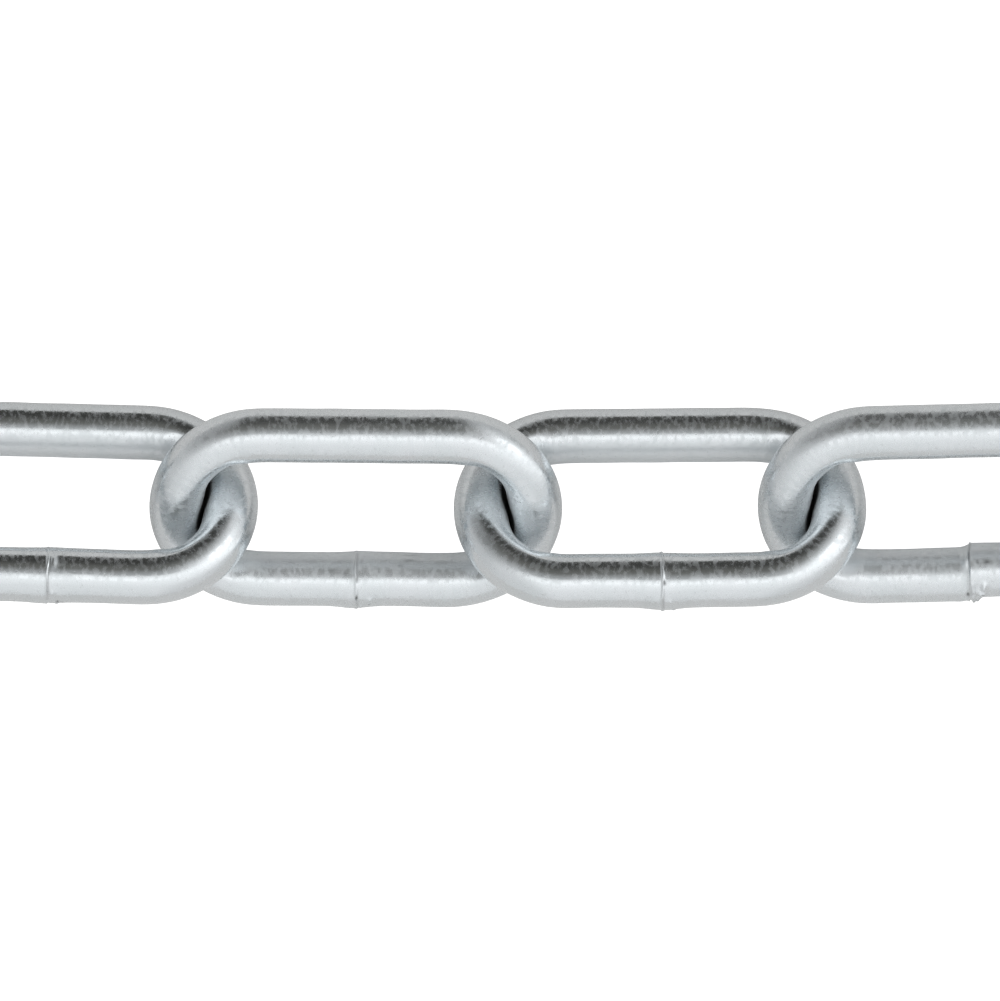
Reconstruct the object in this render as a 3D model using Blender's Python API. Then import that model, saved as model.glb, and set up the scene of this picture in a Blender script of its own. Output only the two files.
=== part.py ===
"""One metre of welded long-link steel chain, laid out straight on the floor.

Every link is one round wire bent to a long oval and butt-welded in the middle of one side.
The links lean to alternate sides, each resting on the floor with its lower side.
Lengths are in metres. +Z is up, +X runs along the chain, and the floor is at Z = 0.
"""

import math

import bpy
from mathutils import Matrix, Vector

# Driving dimensions of one link
WIRE_DIAMETER = 0.0050
LINK_INNER_LENGTH = 0.0285
LINK_WIDTH = 0.0207

# The butt weld swells the wire by this factor over this length, and fades out over the taper
WELD_SWELL = 1.05
WELD_LENGTH = 0.0012
WELD_TAPER = 0.0010

# The chain
LINK_COUNT = 36
PITCH = 0.0280
ROOT_LINK = 19

# How the chain lies: each link leans from the floor, and the run meanders a little
LEAN = math.radians(33.5)
MEANDER_HEIGHT = 0.003
MEANDER_LENGTH = 0.43

# Facets of the wire's round section and of a link's half-round end
BEVEL_RESOLUTION = 2
END_STEPS = 8
# The plain side is a true prism up to this far from the ends' bends
PRISM_INSET = 0.0005

# Worked out from the dimensions above
SECTION_SIDES = 4 + 2 * BEVEL_RESOLUTION
SECTOR = 2 * math.pi / SECTION_SIDES
SECTION_FLAT = WIRE_DIAMETER / 2 * math.cos(SECTOR / 2)
END_RADIUS = (LINK_WIDTH - WIRE_DIAMETER) / 2
CROWN = (LINK_INNER_LENGTH + WIRE_DIAMETER) / 2
HALF_STRAIGHT = CROWN - END_RADIUS
# The section turns in the wire until one of its flats faces the floor
SECTION_TURN = SECTOR / 2 - LEAN


def half_round_end(side):
    """The centreline round the +X end, or with side -1 the other end, counter-clockwise."""
    points = []
    for step in range(END_STEPS + 1):
        angle = math.pi * (step / END_STEPS - 0.5)
        x = HALF_STRAIGHT + END_RADIUS * math.cos(angle)
        y = END_RADIUS * math.sin(angle)
        points.append((Vector((side * x, side * y, 0)), 1.0))
    return points


def link_points():
    """The wire's centreline as (place, radius factor), round the link from its weld."""
    weld_half = WELD_LENGTH / 2
    weld_end = weld_half + WELD_TAPER
    points = [
        (Vector((-weld_half, -END_RADIUS, 0)), WELD_SWELL),
        (Vector((weld_half, -END_RADIUS, 0)), WELD_SWELL),
        (Vector((weld_end, -END_RADIUS, 0)), 1.0),
    ]
    points += half_round_end(1)
    for side in (1, -1):
        points.append((Vector((side * (HALF_STRAIGHT - PRISM_INSET), END_RADIUS, 0)), 1.0))
    points += half_round_end(-1)
    points.append((Vector((-weld_end, -END_RADIUS, 0)), 1.0))
    return points


def link_curve(material):
    """The bent and welded wire of one link, as a closed curve with a round bevel."""
    curve = bpy.data.curves.new("chain_link", "CURVE")
    curve.dimensions = "3D"
    curve.twist_mode = "Z_UP"
    curve.bevel_depth = WIRE_DIAMETER / 2
    curve.bevel_resolution = BEVEL_RESOLUTION
    points = link_points()
    spline = curve.splines.new("POLY")
    spline.points.add(len(points) - 1)
    for point, (place, swell) in zip(spline.points, points):
        point.co = (*place, 1)
        point.radius = swell
        point.tilt = SECTION_TURN
    spline.use_cyclic_u = True
    spline.use_smooth = True
    curve.materials.append(material)
    return curve


def zinc_plated_steel():
    """Bright zinc plating over drawn steel wire."""
    material = bpy.data.materials.new("zinc_plated_steel")
    material.use_nodes = True
    shader = material.node_tree.nodes["Principled BSDF"]
    shader.inputs["Base Color"].default_value = (0.62, 0.64, 0.66, 1)
    shader.inputs["Metallic"].default_value = 1.0
    shader.inputs["Roughness"].default_value = 0.30
    return material


def meander(x):
    """How far the run lies to the side at x, and its slope there."""
    rate = 2 * math.pi / MEANDER_LENGTH
    return -MEANDER_HEIGHT * math.cos(rate * x), MEANDER_HEIGHT * rate * math.sin(rate * x)


def joint_places():
    """Where neighbouring links meet, from one end of the run to the other."""
    half = [Vector((0, meander(0)[0], 0))]
    while len(half) <= LINK_COUNT // 2:
        x = half[-1].x
        slope = meander(x + PITCH / 2)[1]
        x += PITCH * math.cos(math.atan(slope))
        half.append(Vector((x, meander(x)[0], 0)))
    return [Vector((-place.x, place.y, 0)) for place in half[:0:-1]] + half


def stands_on_its_weld(number):
    """Even links have their +Y side up and the welded -Y side on the floor. Odd links lean the other way."""
    return number % 2 == 0


def link_matrix(number, joints):
    """Where one link lies: its place, its heading and its lean."""
    start, end = joints[number - 1], joints[number]
    along = end - start
    middle = (start + end) / 2
    if stands_on_its_weld(number):
        lean, rest = LEAN, SECTION_FLAT * WELD_SWELL
    else:
        lean, rest = -LEAN, SECTION_FLAT
    middle.z = END_RADIUS * math.sin(LEAN) + rest
    heading = Matrix.Rotation(math.atan2(along.y, along.x), 4, "Z")
    return Matrix.Translation(middle) @ heading @ Matrix.Rotation(lean, 4, "X")


def place_under(child, parent, parent_matrix, matrix):
    """Parents an object so that it stands at this world matrix."""
    child.parent = parent
    child.matrix_basis = parent_matrix.inverted() @ matrix


def add_link(number, matrix, parent, parent_matrix, curve, collection):
    """One link of the chain, held by the empty on its joint's axis."""
    link = bpy.data.objects.new(f"link_{number:02d}", curve)
    collection.objects.link(link)
    if parent:
        place_under(link, parent, parent_matrix, matrix)
    else:
        link.matrix_basis = matrix
    return link


def add_arm(numbers, outward, root, matrices, curve, collection):
    """The links on one side of the root link, each swinging about the end of the link before it."""
    carrier, carrier_matrix = root, matrices[ROOT_LINK]
    held_by = ROOT_LINK
    for number in numbers:
        pivot_matrix = matrices[held_by] @ Matrix.Translation((outward * CROWN, 0, 0))
        pivot = bpy.data.objects.new(f"pivot_{number:02d}", None)
        pivot.empty_display_size = WIRE_DIAMETER
        collection.objects.link(pivot)
        place_under(pivot, carrier, carrier_matrix, pivot_matrix)
        add_link(number, matrices[number], pivot, pivot_matrix, curve, collection)
        carrier, carrier_matrix = pivot, pivot_matrix
        held_by = number


def build_chain():
    collection = bpy.data.collections.new("steel_chain")
    bpy.context.scene.collection.children.link(collection)
    curve = link_curve(zinc_plated_steel())
    joints = joint_places()
    matrices = {n: link_matrix(n, joints) for n in range(1, LINK_COUNT + 1)}
    root = add_link(ROOT_LINK, matrices[ROOT_LINK], None, None, curve, collection)
    add_arm(range(ROOT_LINK - 1, 0, -1), -1, root, matrices, curve, collection)
    add_arm(range(ROOT_LINK + 1, LINK_COUNT + 1), 1, root, matrices, curve, collection)


for old in list(bpy.data.objects):
    bpy.data.objects.remove(old)
build_chain()
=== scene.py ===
"""How one metre of welded long-link steel chain looks.

Each link is a detailed piece: drawn wire, bent, butt-welded in one side and bright zinc plated.
The links' places repeat those of the CAD source. Lengths are in metres, +Z is up and +X runs
along the chain. Distances round a link's wire are counted from its weld.
"""

import math
from typing import NamedTuple

import bpy
import numpy as np
from mathutils import Matrix, Vector


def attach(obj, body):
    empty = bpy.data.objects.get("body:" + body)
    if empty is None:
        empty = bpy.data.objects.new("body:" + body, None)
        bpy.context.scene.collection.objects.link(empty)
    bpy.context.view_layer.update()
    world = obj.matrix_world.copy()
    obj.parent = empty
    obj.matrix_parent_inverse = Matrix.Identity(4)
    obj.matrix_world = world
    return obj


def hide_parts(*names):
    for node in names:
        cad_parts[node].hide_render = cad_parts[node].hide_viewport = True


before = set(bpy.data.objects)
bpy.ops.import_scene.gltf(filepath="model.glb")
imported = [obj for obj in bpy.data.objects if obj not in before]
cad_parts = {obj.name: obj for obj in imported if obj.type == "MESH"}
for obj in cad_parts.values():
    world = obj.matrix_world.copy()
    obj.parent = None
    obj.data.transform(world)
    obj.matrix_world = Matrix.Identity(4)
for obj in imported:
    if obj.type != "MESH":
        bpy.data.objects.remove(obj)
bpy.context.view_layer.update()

MM = 0.001

# One link, as the CAD has it, but with the full round wire and the inner length that the photo shows
WIRE_RADIUS = 2.5 * MM
INNER_LENGTH = 28.0 * MM
LINK_WIDTH = 20.7 * MM
END_RADIUS = LINK_WIDTH / 2 - WIRE_RADIUS
CROWN = INNER_LENGTH / 2 + WIRE_RADIUS
# The bends run into the straights over about this length
BEND_BLUR = 0.7 * MM

# Bending flattens the wire's inside by this much on either side of the bearing point, where the
# next link swings past. The flat rises and fades between these distances from that point.
FLATTENING = 0.33 * MM
FLAT_RISE = (0.5 * MM, 5 * MM)
FLAT_FADE = (8 * MM, 11 * MM)
# Neighbours wear each other's insides smooth within about this distance of the bearing point
WORN_REACH = 4 * MM
# Where the wire's inner face begins and is full, as cosines of the angle from straight inwards
INNER_FACE = (0.2, 0.7)
# Tumbling burnishes the outside of a link. The middle of its inner face stays duller.
DULL_FACE = (0.5, 0.85)

# The painted shade inside each bend: a near-black patch where the next link crosses and shades the crevice,
# in degrees round the wire. The slant is per millimetre along it.
SPOT_REACH = 42
SPOT_SLANT = 9
SPOT_FADE = 9
SPOT_HALF_LENGTH = 4.4 * MM

# Shallow dents, and waves that go this many times round a link
DENT_COUNT = 14
DENT_REACHES = (0.5 * MM, 1.4 * MM)
DENT_DEPTHS = (0.01 * MM, 0.035 * MM)
WAVE_RATES = [1.7 * step for step in range(3, 12)]
WAVE_HEIGHT = 0.006 * MM

# The chain as it lies
LINK_COUNT = 36
PITCH = 28.0 * MM
CAD_LEAN = math.radians(33.5)
MEANDER_HEIGHT = 3 * MM
MEANDER_LENGTH = 430 * MM
CAD_SECTION_FLAT = WIRE_RADIUS * math.cos(math.pi / 8)
CAD_WELD_SWELL = 1.05

# Faces round the wire: the links in the camera's view get finer meshes
SEEN_SIDES = 96
FAR_SIDES = 36
# A seen link's rings, in millimetres: how far from the seam each zone ends and the step between
# its rings. A far link's steps are twice as long.
SEAM_ZONE, SEAM_STEP = 0.6, 0.04
WELD_ZONE, WELD_STEP = 3.2, 0.13
PLAIN_STEP = 0.26
PATH_SAMPLES = 4096

# Chance is seeded by a link's number, and each link's finish starts at a place of its own within
# this many millimetres
FIRST_SEED = 1000
FINISH_SPAN = 500


def meander(x):
    """How far the run lies to the side at x, and its slope there."""
    rate = 2 * math.pi / MEANDER_LENGTH
    return -MEANDER_HEIGHT * math.cos(rate * x), MEANDER_HEIGHT * rate * math.sin(rate * x)


def joint_places():
    """Where neighbouring links meet, from one end of the run to the other."""
    half = [Vector((0, meander(0)[0], 0))]
    while len(half) <= LINK_COUNT // 2:
        x = half[-1].x
        slope = meander(x + PITCH / 2)[1]
        x += PITCH * math.cos(math.atan(slope))
        half.append(Vector((x, meander(x)[0], 0)))
    return [Vector((-place.x, place.y, 0)) for place in half[:0:-1]] + half


def stands_on_its_weld(number):
    """Even links have their +Y side up and the welded -Y side on the floor. Odd links lean the other way."""
    return number % 2 == 0


def middle_height(number):
    """The height of a link's middle, which is the CAD's."""
    rest = CAD_SECTION_FLAT * (CAD_WELD_SWELL if stands_on_its_weld(number) else 1)
    return END_RADIUS * math.sin(CAD_LEAN) + rest


def lean_of(number):
    """The lean at which the round wire just touches the floor, a little less than the CAD's."""
    lean = math.asin((middle_height(number) - WIRE_RADIUS) / END_RADIUS)
    return lean if stands_on_its_weld(number) else -lean


def link_matrix(number, joints):
    """Where one link lies: its place, its heading and its lean."""
    start, end = joints[number - 1], joints[number]
    along = end - start
    middle = (start + end) / 2
    middle.z = middle_height(number)
    heading = Matrix.Rotation(math.atan2(along.y, along.x), 4, "Z")
    return Matrix.Translation(middle) @ heading @ Matrix.Rotation(lean_of(number), 4, "X")


def hump(value, middle, width):
    """1 at the middle, fading out over about the width on either side."""
    return np.exp(-(((value - middle) / width) ** 2))


def smooth_step(value, start, end):
    """0 up to the start, 1 from the end on and a smooth rise between them."""
    share = np.clip((value - start) / (end - start), 0, 1)
    return share * share * (3 - 2 * share)


def angle_between(turn, middle):
    """How far each angle is from the middle one, from 0 to pi."""
    return np.abs(np.mod(turn - middle + math.pi, 2 * math.pi) - math.pi)


def patch(distance, turn, place, side, reach, width):
    """1 at one place and side of the wire, fading out over the reach along it and the width round it."""
    across = angle_between(turn, side) * WIRE_RADIUS
    return hump(distance, place, reach)[:, None] * hump(across, 0, width)[None, :]


def blurred(values, step, width):
    """Evenly spaced values of a closed line, smoothed over a width."""
    waves = np.fft.rfftfreq(len(values), step)
    keep = np.exp(-2 * (math.pi * waves * width) ** 2)
    return np.fft.irfft(np.fft.rfft(values) * keep, len(values))


def centreline():
    """The wire's middle line as its length and even samples of x, y and heading.

    It starts in the middle of the welded -Y side and runs towards +X, then back along the +Y side.
    """
    straight = CROWN - END_RADIUS
    bend = math.pi * END_RADIUS
    length = 4 * straight + 2 * bend
    step = length / PATH_SAMPLES
    distance = np.arange(PATH_SAMPLES) * step
    corners = np.cumsum([0, straight, bend, 2 * straight, bend, straight])
    heading = np.interp(distance, corners, [0, 0, math.pi, math.pi, 2 * math.pi, 2 * math.pi])
    steady = 2 * math.pi * distance / length
    heading = steady + blurred(heading - steady, step, BEND_BLUR)
    x = np.cumsum(np.cos(heading)) * step
    y = np.cumsum(np.sin(heading)) * step
    x -= (x.max() + x.min()) / 2
    y -= (y.max() + y.min()) / 2
    return length, x * CROWN / x.max(), y * END_RADIUS / y.max(), heading


LENGTH, PATH_X, PATH_Y, PATH_HEADING = centreline()


def on_path(distance):
    """x, y and heading of the middle line at these distances from the middle of the welded side."""
    places = np.arange(PATH_SAMPLES + 1) * LENGTH / PATH_SAMPLES
    wrapped = np.mod(distance, LENGTH)
    x, y = (np.interp(wrapped, places, np.append(v, v[0])) for v in (PATH_X, PATH_Y))
    heading = np.interp(wrapped, places, np.append(PATH_HEADING, PATH_HEADING[0] + 2 * math.pi))
    return x, y, heading


def ring_distances(seen):
    """Distances of the wire's rings from the weld: close together at the weld and wider round the rest."""
    scale = 1 if seen else 2
    seam_zone = np.arange(0, SEAM_ZONE, SEAM_STEP * scale)
    weld_zone = np.arange(SEAM_ZONE, WELD_ZONE, WELD_STEP * scale)
    half = np.concatenate([seam_zone, weld_zone]) * MM
    start, end = WELD_ZONE * MM, LENGTH - WELD_ZONE * MM
    rest = np.linspace(start, end, round((end - start) / (PLAIN_STEP * MM * scale)))
    return np.concatenate([half, rest, LENGTH - half[:0:-1]])


class Weld(NamedTuple):
    """One link's butt weld, in metres.

    A facing says which way of the wire: 0 is straight up, and it grows towards the link's inside.
    """

    place: float  # along the side, from its middle
    swell: float  # how far the upset metal stands out towards the outside of the link
    swell_reach: float
    lip: float  # height of the ridge along the seam
    lip_width: float
    groove: float  # depth of the line beside it
    step_in: float  # how far the wire past the seam stands off towards the inside of the link
    step_up: float
    crumbs: int  # bits of flash left on the outside
    fin: float  # height of a fin of flash on the upper side
    fin_place: float
    notch_place: float  # of a short dark nick beside the seam
    notch_facing: float  # in degrees
    dullness: float  # of the link's finish, from 0 to 1


SEEN_WELDS = {
    17: Weld(
        place=-0.17 * MM, swell=0.14 * MM, swell_reach=1.7 * MM, lip=0.09 * MM, lip_width=0.13 * MM,
        groove=0.06 * MM, step_in=0.05 * MM, step_up=0.0, crumbs=3, fin=0.12 * MM,
        fin_place=0.55 * MM, notch_place=1.0 * MM, notch_facing=-72, dullness=0.0,
    ),
    18: Weld(
        place=0.05 * MM, swell=0.22 * MM, swell_reach=1.6 * MM, lip=0.08 * MM, lip_width=0.16 * MM,
        groove=0.06 * MM, step_in=0.08 * MM, step_up=0.0, crumbs=3, fin=0.05 * MM,
        fin_place=-0.1 * MM, notch_place=0.05 * MM, notch_facing=-42, dullness=0.2,
    ),
    19: Weld(
        place=0.12 * MM, swell=0.25 * MM, swell_reach=1.8 * MM, lip=0.12 * MM, lip_width=0.13 * MM,
        groove=0.07 * MM, step_in=-0.04 * MM, step_up=0.0, crumbs=3, fin=0.0,
        fin_place=0.0, notch_place=0.17 * MM, notch_facing=-4, dullness=0.1,
    ),
    20: Weld(
        place=0.33 * MM, swell=0.06 * MM, swell_reach=1.2 * MM, lip=0.10 * MM, lip_width=0.20 * MM,
        groove=0.05 * MM, step_in=0.50 * MM, step_up=0.1 * MM, crumbs=34, fin=0.32 * MM,
        fin_place=-0.27 * MM, notch_place=-0.15 * MM, notch_facing=-52, dullness=0.4,
    ),
}


class Mark(NamedTuple):
    """A dark mark on the wire. Its place is counted from the weld and its facing as the weld's are."""

    place: float
    facing: float  # in degrees
    reach: float  # along the wire
    width: float
    darkness: float


SEEN_MARKS = {
    18: [
        Mark(place=4.9 * MM, facing=44, reach=0.55 * MM, width=0.11 * MM, darkness=0.55),
        Mark(place=5.0 * MM, facing=62, reach=1.1 * MM, width=0.09 * MM, darkness=0.35),
        Mark(place=4.1 * MM, facing=30, reach=0.16 * MM, width=0.15 * MM, darkness=0.45),
        Mark(place=-1.0 * MM, facing=12, reach=0.16 * MM, width=0.22 * MM, darkness=0.3),
        Mark(place=-2.2 * MM, facing=18, reach=0.3 * MM, width=0.14 * MM, darkness=0.25),
    ],
    20: [
        Mark(place=0.76 * MM, facing=18, reach=0.13 * MM, width=0.2 * MM, darkness=0.6),
        Mark(place=1.63 * MM, facing=17, reach=0.26 * MM, width=0.14 * MM, darkness=0.7),
    ],
}

# What all the welds have in common. The swelling and the ridge have at least this share all round.
LEAST_SWELL = 0.35
LEAST_LIP = 0.4
# The seam wanders a little on its way round the wire. Where the sum of two waves is between these
# values, the groove beside it gives way to the ridge.
SEAM_WANDER = 0.05 * MM
RIDGE_RISE = (-0.6, 0.8)
# The groove and the dark line that shows in it, past the seam
GROOVE_PLACE, GROOVE_WIDTH = 0.12 * MM, 0.09 * MM
LINE_PLACE, LINE_WIDTH = 0.1 * MM, 0.14 * MM
# The side that lies on the floor is nearly level: this much is taken off, over this many radians
FLOOR_SIDE_LEVELLING, FLOOR_SIDE_WIDTH = 0.75, 0.9
# The crumbs of flash lie between these places and facings, and have these reaches and heights
CRUMB_PLACES = (0.05 * MM, 1.5 * MM)
CRUMB_FACINGS = (-130, -30)
CRUMB_REACHES = (0.12 * MM, 0.28 * MM)
CRUMB_HEIGHTS = (0.08 * MM, 0.24 * MM)
FIN_FACING, FIN_REACH, FIN_WIDTH = 28, 0.28 * MM, 0.6 * MM
NOTCH_DEPTH, NOTCH_REACH, NOTCH_WIDTH = 0.1 * MM, 0.13 * MM, 0.26 * MM
NOTCH_DARKNESS = 0.85
# A share of the wire's step comes before the seam, the rest right past it, and then it fades out
EARLY_STEP = 0.35
EARLY_STEP_RISE = (-0.9 * MM, 0)
LATE_STEP_RISE = (0, 0.12 * MM)
STEP_FADE = (2.5 * MM, 8 * MM)


def some_weld(rng):
    """A weld as chance leaves it."""
    return Weld(
        place=rng.uniform(-0.3, 0.3) * MM,
        swell=rng.uniform(0.12, 0.28) * MM,
        swell_reach=rng.uniform(1.2, 1.9) * MM,
        lip=rng.uniform(0.03, 0.09) * MM,
        lip_width=rng.uniform(0.12, 0.22) * MM,
        groove=rng.uniform(0.03, 0.07) * MM,
        step_in=rng.uniform(-0.12, 0.15) * MM,
        step_up=rng.uniform(-0.08, 0.08) * MM,
        crumbs=int(rng.integers(0, 6)),
        fin=rng.uniform(0, 0.12) * MM,
        fin_place=rng.uniform(-0.4, 0.6) * MM,
        notch_place=rng.uniform(-0.3, 1.0) * MM,
        notch_facing=rng.uniform(-90, 90),
        dullness=rng.uniform(0, 0.4),
    )


def unevenness(distance, turn, rng):
    """Shallow dents and waves that bending and tumbling leave in the wire."""
    height = np.zeros((len(distance), len(turn)))
    for _ in range(DENT_COUNT):
        place, side = rng.uniform(0, LENGTH), rng.uniform(0, 2 * math.pi)
        reach, depth = rng.uniform(*DENT_REACHES), rng.uniform(*DENT_DEPTHS)
        height -= depth * patch(distance, turn, place, side, reach, reach)
    for rate in WAVE_RATES:
        phase, around, start = rng.uniform(0, 2 * math.pi), rng.integers(0, 3), rng.uniform(0, 6)
        wave = np.sin(2 * math.pi * rate * distance / LENGTH + phase)[:, None]
        height += WAVE_HEIGHT * wave * np.cos(around * turn + start)[None, :]
    return height


def seam_line(past_seam, facing, rng):
    """How far each point is past the wandering seam, and how fully its ridge shows at each side."""
    first, second = rng.uniform(0, 2 * math.pi, 2)
    wander = SEAM_WANDER * (np.sin(2 * facing + first) + 0.6 * np.sin(5 * facing + second))
    ridged = smooth_step(np.sin(1.5 * facing + first) + np.sin(4 * facing + second), *RIDGE_RISE)
    return past_seam[:, None] - wander[None, :], ridged[None, :]


def weld_shape(past_seam, facing, weld, rng):
    """How far the weld stands out at each ring and side of the wire, its dark line and its notch."""
    outside = (1 - np.sin(facing[None, :])) / 2
    swell = weld.swell * (LEAST_SWELL + (1 - LEAST_SWELL) * outside**2)
    swell = swell * hump(past_seam, 0, weld.swell_reach)[:, None]
    off_seam, ridged = seam_line(past_seam, facing, rng)
    lip = weld.lip * (LEAST_LIP + (1 - LEAST_LIP) * ridged) * hump(off_seam, 0, weld.lip_width)
    groove = weld.groove * (1 - ridged) * hump(off_seam, GROOVE_PLACE, GROOVE_WIDTH)
    dark_line = (1 - ridged) * hump(off_seam, LINE_PLACE, LINE_WIDTH)
    below = hump(angle_between(facing, math.pi), 0, FLOOR_SIDE_WIDTH)[None, :]
    height = (swell + lip) * (1 - FLOOR_SIDE_LEVELLING * below) - groove
    for _ in range(weld.crumbs):
        place, side = rng.uniform(*CRUMB_PLACES), math.radians(rng.uniform(*CRUMB_FACINGS))
        reach, crumb = rng.uniform(*CRUMB_REACHES), rng.uniform(*CRUMB_HEIGHTS)
        height += crumb * patch(past_seam, facing, place, side, reach, reach)
    side = math.radians(FIN_FACING)
    height += weld.fin * patch(past_seam, facing, weld.fin_place, side, FIN_REACH, FIN_WIDTH)
    side = math.radians(weld.notch_facing)
    notch = patch(past_seam, facing, weld.notch_place, side, NOTCH_REACH, NOTCH_WIDTH)
    return height - NOTCH_DEPTH * notch, dark_line, notch


def marked(past_seam, facing, marks):
    """How dark a link's marks make its wire."""
    dark = np.zeros((len(past_seam), len(facing)))
    for mark in marks:
        shade = patch(past_seam, facing, mark.place, math.radians(mark.facing), mark.reach, mark.width)
        dark = np.maximum(dark, mark.darkness * shade)
    return dark


def painted_crevice_shade(sideways, turn, lean):
    """Painted shade: how dark the wire is painted inside a bend, in the crevice where the next link bears on
    it.

    The spot slants across the wire, as the next link crosses it at an angle. sideways is the distance
    from the bearing point towards +Y.
    """
    upward = math.pi - turn
    slant = -math.copysign(math.radians(SPOT_SLANT) / MM, lean) * sideways
    reach = math.radians(SPOT_REACH) * (1 - (sideways / SPOT_HALF_LENGTH) ** 2)
    off_middle = np.abs(upward[None, :] - slant[:, None])
    return smooth_step(reach[:, None] - off_middle, 0, math.radians(SPOT_FADE))


def wire_middle(distance, past_seam, weld):
    """The middle of each ring and its direction towards the link's outside.

    Past the weld the wire stands off its line by the weld's step and then comes back to it.
    """
    x, y, heading = on_path(distance + weld.place)
    outward = np.stack([np.sin(heading), -np.cos(heading), np.zeros(len(heading))], 1)
    off_line = EARLY_STEP * smooth_step(past_seam, *EARLY_STEP_RISE)
    off_line += (1 - EARLY_STEP) * smooth_step(past_seam, *LATE_STEP_RISE)
    off_line *= 1 - smooth_step(past_seam, *STEP_FADE)
    middle = np.stack([x, y, off_line * weld.step_up], 1)
    return middle - (off_line * weld.step_in)[:, None] * outward, outward


def closed_mesh(name, points):
    """A closed mesh through rings of points, and the ring and side of each face's four corners."""
    rings, sides = points.shape[:2]
    ring, side = np.meshgrid(np.arange(rings), np.arange(sides), indexing="ij")
    corners = [(ring, side), (ring + 1, side), (ring + 1, side + 1), (ring, side + 1)]
    faces = np.stack([(r % rings) * sides + s % sides for r, s in corners], -1).reshape(-1, 4)
    mesh = bpy.data.meshes.new(name)
    mesh.from_pydata(points.reshape(-1, 3).tolist(), [], faces.tolist())
    mesh.shade_smooth()
    return mesh, corners


def wire_axes(distance, turn, corners):
    """Each corner's place in the wire, in millimetres: two across its section and one along it."""
    across = np.cos(turn) * WIRE_RADIUS / MM
    up = np.sin(turn) * WIRE_RADIUS / MM
    along = np.append(distance, LENGTH) / MM
    sides = len(turn)
    return np.stack([np.stack([across[s % sides], up[s % sides], along[r]], -1) for r, s in corners], -2)


def store(mesh, name, kind, domain, values):
    """Keeps values with the mesh for its material to read."""
    attribute = mesh.attributes.new(name, kind, domain)
    field = "value" if kind == "FLOAT" else "vector"
    attribute.data.foreach_set(field, np.ravel(values).astype(np.float32))


def link_mesh(number):
    """One link's wire, as a closed mesh in the link's own axes."""
    rng = np.random.default_rng(FIRST_SEED + number)
    seen = number in SEEN_WELDS
    weld = SEEN_WELDS[number] if seen else some_weld(rng)
    lean = lean_of(number)
    distance = ring_distances(seen)
    past_seam = np.where(distance > LENGTH / 2, distance - LENGTH, distance)
    past_bearing = np.mod(distance + weld.place, LENGTH / 2) - LENGTH / 4
    from_bearing = np.abs(past_bearing)
    sides = SEEN_SIDES if seen else FAR_SIDES
    turn = np.arange(sides) * 2 * math.pi / sides
    facing = turn - math.pi / 2 - lean

    weld_height, dark_line, notch = weld_shape(past_seam, facing, weld, rng)
    inner_face = smooth_step(-np.cos(turn), *INNER_FACE)[None, :]
    worn_smooth = hump(from_bearing, 0, WORN_REACH)[:, None] * inner_face
    flat = smooth_step(from_bearing, *FLAT_RISE) * (1 - smooth_step(from_bearing, *FLAT_FADE))
    radius = WIRE_RADIUS + weld_height + unevenness(distance, turn, rng) * (1 - worn_smooth)
    radius -= FLATTENING * flat[:, None] * inner_face
    middle, outward = wire_middle(distance, past_seam, weld)
    points = middle[:, None] + (radius * np.cos(turn))[..., None] * outward[:, None]
    points[..., 2] += radius * np.sin(turn)
    mesh, corners = closed_mesh(f"link_{number:02d}_wire", points)

    axes = wire_axes(distance, turn, corners) + rng.uniform(0, FINISH_SPAN, 3)
    store(mesh, "wire", "FLOAT_VECTOR", "CORNER", axes)
    store(mesh, "seam", "FLOAT", "POINT", dark_line)
    inside = np.repeat(smooth_step(-np.cos(turn), *DULL_FACE)[None, :], len(distance), 0)
    store(mesh, "dull", "FLOAT", "POINT", weld.dullness + (1 - weld.dullness) * inside)
    end = np.where(middle[:, 0] > 0, 1, -1)
    # Painted shade: the crevice inside each bend, where the next link crosses, is painted near-black
    spot = painted_crevice_shade(end * past_bearing, turn, lean)
    marks = marked(past_seam, facing, SEEN_MARKS.get(number, []))
    shade_and_marks = np.maximum.reduce([spot, NOTCH_DARKNESS * notch, marks])
    store(mesh, "shade_and_marks", "FLOAT", "POINT", shade_and_marks)
    return mesh


def add_link(number, joints, material):
    """The detailed piece of one link, in place of its CAD node."""
    mesh = link_mesh(number)
    mesh.transform(link_matrix(number, joints))
    mesh.materials.append(material)
    piece = bpy.data.objects.new(f"link_{number:02d}_wire", mesh)
    bpy.context.scene.collection.objects.link(piece)
    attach(piece, f"link_{number:02d}")
    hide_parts(f"link_{number:02d}")


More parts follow.
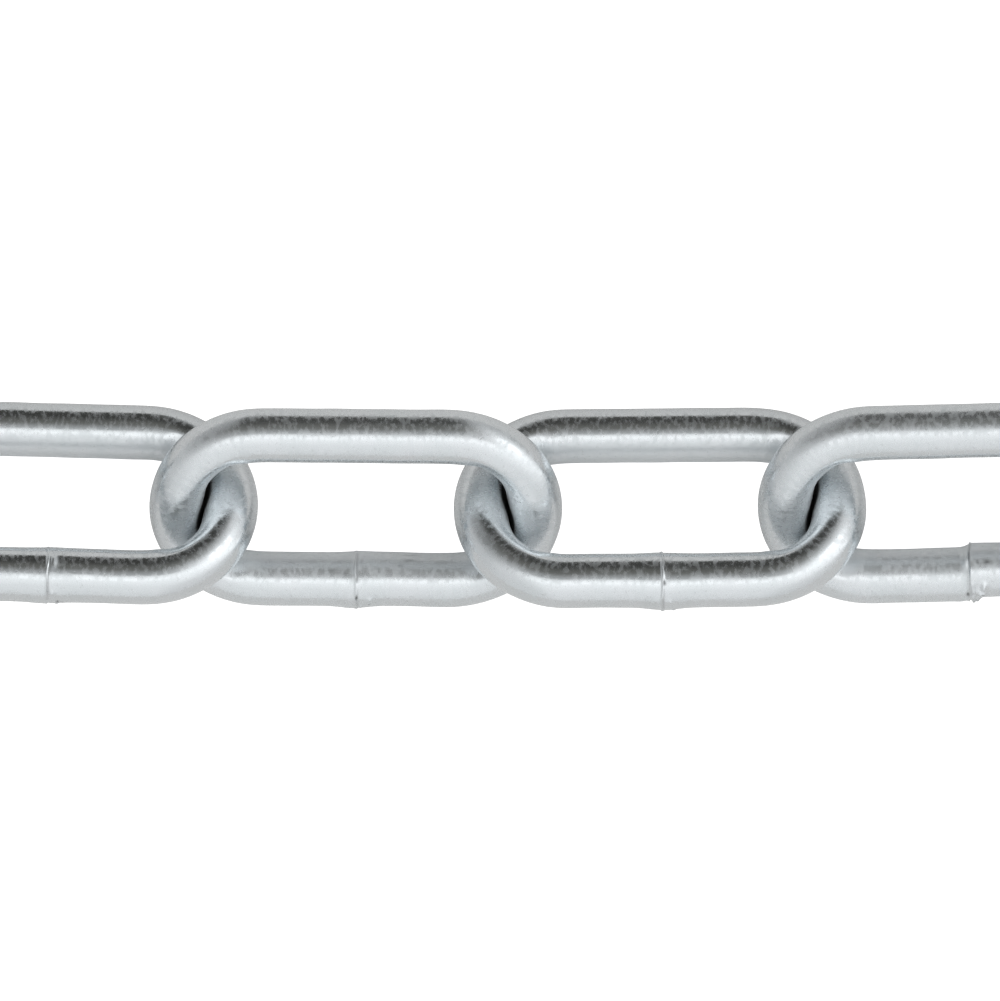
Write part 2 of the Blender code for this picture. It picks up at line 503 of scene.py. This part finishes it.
class Graph:
    """Adds nodes to a node tree and joins them. A value is a number, a tuple or another node's output."""

    def __init__(self, tree):
        self.tree = tree

    def add(self, kind, inputs=None, **settings):
        """A new node with these inputs and settings."""
        node = self.tree.nodes.new(kind)
        for name, value in settings.items():
            setattr(node, name, value)
        for name, value in (inputs or {}).items():
            self.feed(node.inputs[name], value)
        return node

    def feed(self, socket, value):
        """Gives a socket its value."""
        if isinstance(value, bpy.types.NodeSocket):
            self.tree.links.new(value, socket)
        else:
            socket.default_value = value

    def stored(self, name, output="Fac"):
        """What a mesh keeps under this name."""
        return self.add("ShaderNodeAttribute", attribute_name=name).outputs[output]

    def math(self, operation, *values):
        """The result of one operation on one, two or three values."""
        node = self.add("ShaderNodeMath", operation=operation)
        for socket, value in zip(node.inputs, values):
            self.feed(socket, value)
        return node.outputs[0]

    def vector_math(self, operation, first, second, output="Vector"):
        """The result of one operation on two vectors."""
        node = self.add("ShaderNodeVectorMath", operation=operation)
        self.feed(node.inputs[0], first)
        self.feed(node.inputs[1], second)
        return node.outputs[output]

    def noise(self, place, scale, detail, roughness=0.5, density=(1.0, 1.0, 1.0)):
        """Soft noise from 0 to 1. It is finer along an axis with a higher density."""
        place = self.vector_math("MULTIPLY", place, density)
        inputs = {"Vector": place, "Scale": scale, "Detail": detail, "Roughness": roughness}
        return self.add("ShaderNodeTexNoise", inputs).outputs["Fac"]

    def between(self, value, start, end, low=0.0, high=1.0):
        """value from start to end becomes low to high, and stays inside."""
        inputs = {"Value": value, "From Min": start, "From Max": end, "To Min": low, "To Max": high}
        return self.add("ShaderNodeMapRange", inputs, interpolation_type="SMOOTHSTEP").outputs["Result"]

    def mix(self, share, first, second):
        """The first colour, or with share 1 the second."""
        node = self.add("ShaderNodeMix", data_type="RGBA")
        self.feed(node.inputs["Factor"], share)
        first_colour, second_colour, mixed_colour = 6, 7, 2
        self.feed(node.inputs[first_colour], first)
        self.feed(node.inputs[second_colour], second)
        return node.outputs[mixed_colour]

    def ramp(self, value, stops):
        """A colour that follows a value from 0 to 1. stops are (place, colour)."""
        node = self.add("ShaderNodeValToRGB", {"Fac": value})
        elements = node.color_ramp.elements
        node.color_ramp.interpolation = "EASE"
        while len(elements) < len(stops):
            elements.new(1.0)
        for element, (place, colour) in zip(elements, stops):
            element.position = place
            element.color = (*colour, 1)
        return node.outputs["Color"]


# The zinc's colours: its clouds go from the duller to the clearer one
DULLER_ZINC = (0.744, 0.788, 0.810, 1)
CLEARER_ZINC = (0.769, 0.806, 0.831, 1)
PITTED_ZINC = (0.41, 0.42, 0.42, 1)
SEAM_GREY = (0.20, 0.20, 0.20, 1)
# The near-black of the painted shade inside the bends, and of the notches and marks
SHADE_AND_MARK_BLACK = (0.03, 0.03, 0.03, 1)
# The noise's values between which the clouds, the mottle's rough patches and the pits rise
CLOUD_RISE = (0.35, 0.65)
MOTTLE_RISE = (0.38, 0.66)
PIT_RISE = (0.66, 0.74)
# How strongly the pits and the seam show in the colour
PIT_SHARE = 0.2
SEAM_SHARE = 0.3
# How metallic the burnished and the dull zinc are
BURNISHED, DULLED = 0.985, 0.72
# Roughness of the mottle's smooth and rough patches, and what the seam and dullness add
SMOOTH_PATCH, ROUGH_PATCH = 0.14, 0.32
SEAM_ROUGHNESS = 0.1
DULL_ROUGHNESS = 0.2
# How high the scratches and the mottle stand and how deep the pits are
SCRATCH_HEIGHT = 0.0015 * MM
MOTTLE_HEIGHT = 0.007 * MM
PIT_DEPTH = 0.004 * MM


def zinc_plated_steel():
    """Bright zinc over drawn wire: mottled and pitted, with fine scratches along it, dark in the seam, with
    painted shade inside the bends.
    """
    material = bpy.data.materials.new("zinc_plated_steel")
    material.use_nodes = True
    graph = Graph(material.node_tree)
    shader = material.node_tree.nodes["Principled BSDF"]
    wire = graph.stored("wire", "Vector")
    seam, dull, shade_and_marks = (graph.stored(name) for name in ("seam", "dull", "shade_and_marks"))

    clouds = graph.noise(wire, scale=0.3, detail=2.0)
    mottle = graph.noise(wire, scale=1.7, detail=1.5, density=(0.9, 0.9, 1.4))
    scratches = graph.noise(wire, scale=2.2, detail=4.0, roughness=0.6, density=(5.0, 5.0, 0.22))
    specks = graph.noise(wire, scale=3.0, detail=1.0, density=(1.0, 1.0, 1.5))
    pits = graph.between(specks, *PIT_RISE)

    zinc = graph.mix(graph.between(clouds, *CLOUD_RISE), DULLER_ZINC, CLEARER_ZINC)
    zinc = graph.mix(graph.math("MULTIPLY", pits, PIT_SHARE), zinc, PITTED_ZINC)
    zinc = graph.mix(graph.math("MULTIPLY", seam, SEAM_SHARE), zinc, SEAM_GREY)
    # Painted shade inside the bends, and the dark notches and marks, go into the colour
    graph.feed(shader.inputs["Base Color"], graph.mix(shade_and_marks, zinc, SHADE_AND_MARK_BLACK))
    graph.feed(shader.inputs["Metallic"], graph.between(dull, 0.0, 1.0, low=BURNISHED, high=DULLED))
    rough = graph.between(mottle, *MOTTLE_RISE, low=SMOOTH_PATCH, high=ROUGH_PATCH)
    rough = graph.math("ADD", rough, graph.math("MULTIPLY", seam, SEAM_ROUGHNESS))
    rough = graph.math("ADD", rough, graph.math("MULTIPLY", dull, DULL_ROUGHNESS))
    graph.feed(shader.inputs["Roughness"], rough)

    normal = None
    for pattern, height in ((scratches, SCRATCH_HEIGHT), (mottle, MOTTLE_HEIGHT), (pits, -PIT_DEPTH)):
        inputs = {"Height": pattern, "Distance": abs(height), "Strength": 1.0}
        bump = graph.add("ShaderNodeBump", inputs, invert=height < 0)
        if normal:
            graph.feed(bump.inputs["Normal"], normal)
        normal = bump.outputs["Normal"]
    graph.feed(shader.inputs["Normal"], normal)
    return material


WHITE = (1, 1, 1, 1)
FLOOR_HEIGHT = -0.13 * MM
FLOOR_HALF_WIDTH = 10.0
FLOOR_COLOUR = (0.76, 0.745, 0.73, 1)
FLOOR_GLOW = 0.08


def add_floor():
    """A plain pale floor, just below the lowest wire.

    It lights the chain from below and the wire mirrors it. The camera looks through it to the white
    behind, so that links that swing below the floor still show.
    """
    around = ((-1, -1), (1, -1), (1, 1), (-1, 1))
    corners = [(x * FLOOR_HALF_WIDTH, y * FLOOR_HALF_WIDTH, FLOOR_HEIGHT) for x, y in around]
    mesh = bpy.data.meshes.new("floor")
    mesh.from_pydata(corners, [], [(0, 1, 2, 3)])
    material = bpy.data.materials.new("floor")
    material.use_nodes = True
    shader = material.node_tree.nodes["Principled BSDF"]
    shader.inputs["Base Color"].default_value = FLOOR_COLOUR
    shader.inputs["Emission Color"].default_value = WHITE
    shader.inputs["Emission Strength"].default_value = FLOOR_GLOW
    shader.inputs["Roughness"].default_value = 1.0
    shader.inputs["Specular IOR Level"].default_value = 0.0
    mesh.materials.append(material)
    floor = bpy.data.objects.new("floor", mesh)
    floor.visible_camera = False
    bpy.context.scene.collection.objects.link(floor)


# The studio's walls, as (degrees from the zenith, light level, tint). The degrees count from the
# -Y wall to the +Y wall, and there is a row of walls over the middle, towards -X and towards +X.
NEUTRAL = (1.0, 1.0, 1.0)
WARM = (1.03, 1.01, 0.93)
MIDDLE_WALLS = [
    (-90, 1.0, NEUTRAL), (-50, 1.12, NEUTRAL), (-22, 1.3, NEUTRAL), (-11, 1.6, NEUTRAL),
    (-1, 1.4, NEUTRAL), (10, 0.50, NEUTRAL), (35, 0.16, WARM), (65, 0.05, WARM), (92, 0.06, WARM),
]
LEFT_WALLS = [
    (-90, 0.9, NEUTRAL), (-20, 0.95, NEUTRAL), (15, 0.62, NEUTRAL), (40, 0.33, NEUTRAL),
    (75, 0.45, NEUTRAL), (90, 0.50, NEUTRAL),
]
RIGHT_WALLS = [
    (-90, 0.85, NEUTRAL), (-60, 0.95, NEUTRAL), (-20, 1.4, NEUTRAL), (-8, 1.6, NEUTRAL),
    (15, 1.5, NEUTRAL), (45, 1.05, NEUTRAL), (75, 0.65, NEUTRAL), (90, 0.60, NEUTRAL),
]
BRIGHTEST = 1.6
STUDIO_STRENGTH = 0.8
# The walls draw together towards the horizon, to this share of their spread
HORIZON_SPREAD = 0.25
# Where along the sky the middle walls turn into the left and right ones, and into the grey -X end
LEFT_TURN = (-0.25, -0.95)
RIGHT_TURN = (0.1, 0.95)
END_TURN = (-0.7, -1.0)
END_LEVEL = 0.75
# A lamp shines from the +X side, this many times as bright as the brightest wall
LAMP_DIRECTION = Vector((0.76, 0.26, 0.60)).normalized()
LAMP_SIZE, LAMP_FADE = math.radians(9), math.radians(17)
LAMP_LEVEL = 1.2


def grey(level):
    """A light level as a colour."""
    return (level, level, level, 1)


def wall_stops(walls):
    """Angles from the zenith become places on a ramp, and light levels become colours."""
    half_turn, whole_turn = 180, 360
    return [
        ((angle + half_turn) / whole_turn, tuple(level / BRIGHTEST * c for c in tint))
        for angle, level, tint in walls
    ]


def add_world():
    """Soft studio light: a wide bright wall on the -Y side, a dark one on the +Y side and a lamp at +X."""
    world = bpy.data.worlds.new("studio")
    bpy.context.scene.world = world
    world.use_nodes = True
    graph = Graph(world.node_tree)
    background = world.node_tree.nodes["Background"]
    direction = graph.add("ShaderNodeTexCoord").outputs["Generated"]
    axes = graph.add("ShaderNodeSeparateXYZ", {"Vector": direction}).outputs
    turn = graph.math("DIVIDE", graph.math("ARCTAN2", axes["Y"], axes["Z"]), 2 * math.pi)
    place = graph.math("ADD", turn, 0.5)
    height = graph.math("MAXIMUM", axes["Z"], 0.0)
    spread = graph.math("MULTIPLY_ADD", height, 1 - HORIZON_SPREAD, HORIZON_SPREAD)
    along = graph.math("DIVIDE", axes["X"], spread)
    rows = (MIDDLE_WALLS, LEFT_WALLS, RIGHT_WALLS)
    middle, left, right = (graph.ramp(place, wall_stops(walls)) for walls in rows)
    light = graph.mix(graph.between(along, *LEFT_TURN), middle, left)
    light = graph.mix(graph.between(along, *RIGHT_TURN), light, right)
    light = graph.mix(graph.between(axes["X"], *END_TURN), light, grey(END_LEVEL / BRIGHTEST))
    towards_lamp = graph.vector_math("DOT_PRODUCT", direction, LAMP_DIRECTION, "Value")
    lamp = graph.between(towards_lamp, math.cos(LAMP_FADE), math.cos(LAMP_SIZE))
    light = graph.mix(lamp, light, grey(LAMP_LEVEL))
    seen = graph.add("ShaderNodeLightPath").outputs["Is Camera Ray"]
    graph.feed(background.inputs["Color"], graph.mix(seen, light, WHITE))
    background.inputs["Strength"].default_value = STUDIO_STRENGTH * BRIGHTEST


# The photograph's height in pixels, its scale, and the place that it is centred on
PHOTO_HEIGHT = 1001
PIXELS_PER_MM = 10.861
VIEW_CENTRE = Vector((-0.727 * MM, -2.209 * MM, 6 * MM))
# The camera's lens and the height of its sensor, in millimetres
LENS = 1000
SENSOR = 36


def add_camera():
    """Straight above the middle links, from far off, showing as much as the photograph does."""
    view_height = PHOTO_HEIGHT / PIXELS_PER_MM * MM
    camera = bpy.data.objects.new("camera", bpy.data.cameras.new("camera"))
    camera.data.lens = LENS
    camera.data.sensor_width = SENSOR
    bpy.context.scene.collection.objects.link(camera)
    camera.location = VIEW_CENTRE + Vector((0, 0, LENS * view_height / SENSOR))
    bpy.context.scene.camera = camera


material = zinc_plated_steel()
joints = joint_places()
for number in range(1, LINK_COUNT + 1):
    add_link(number, joints, material)
add_floor()
add_world()
add_camera()
bpy.context.scene.view_settings.view_transform = "Standard"
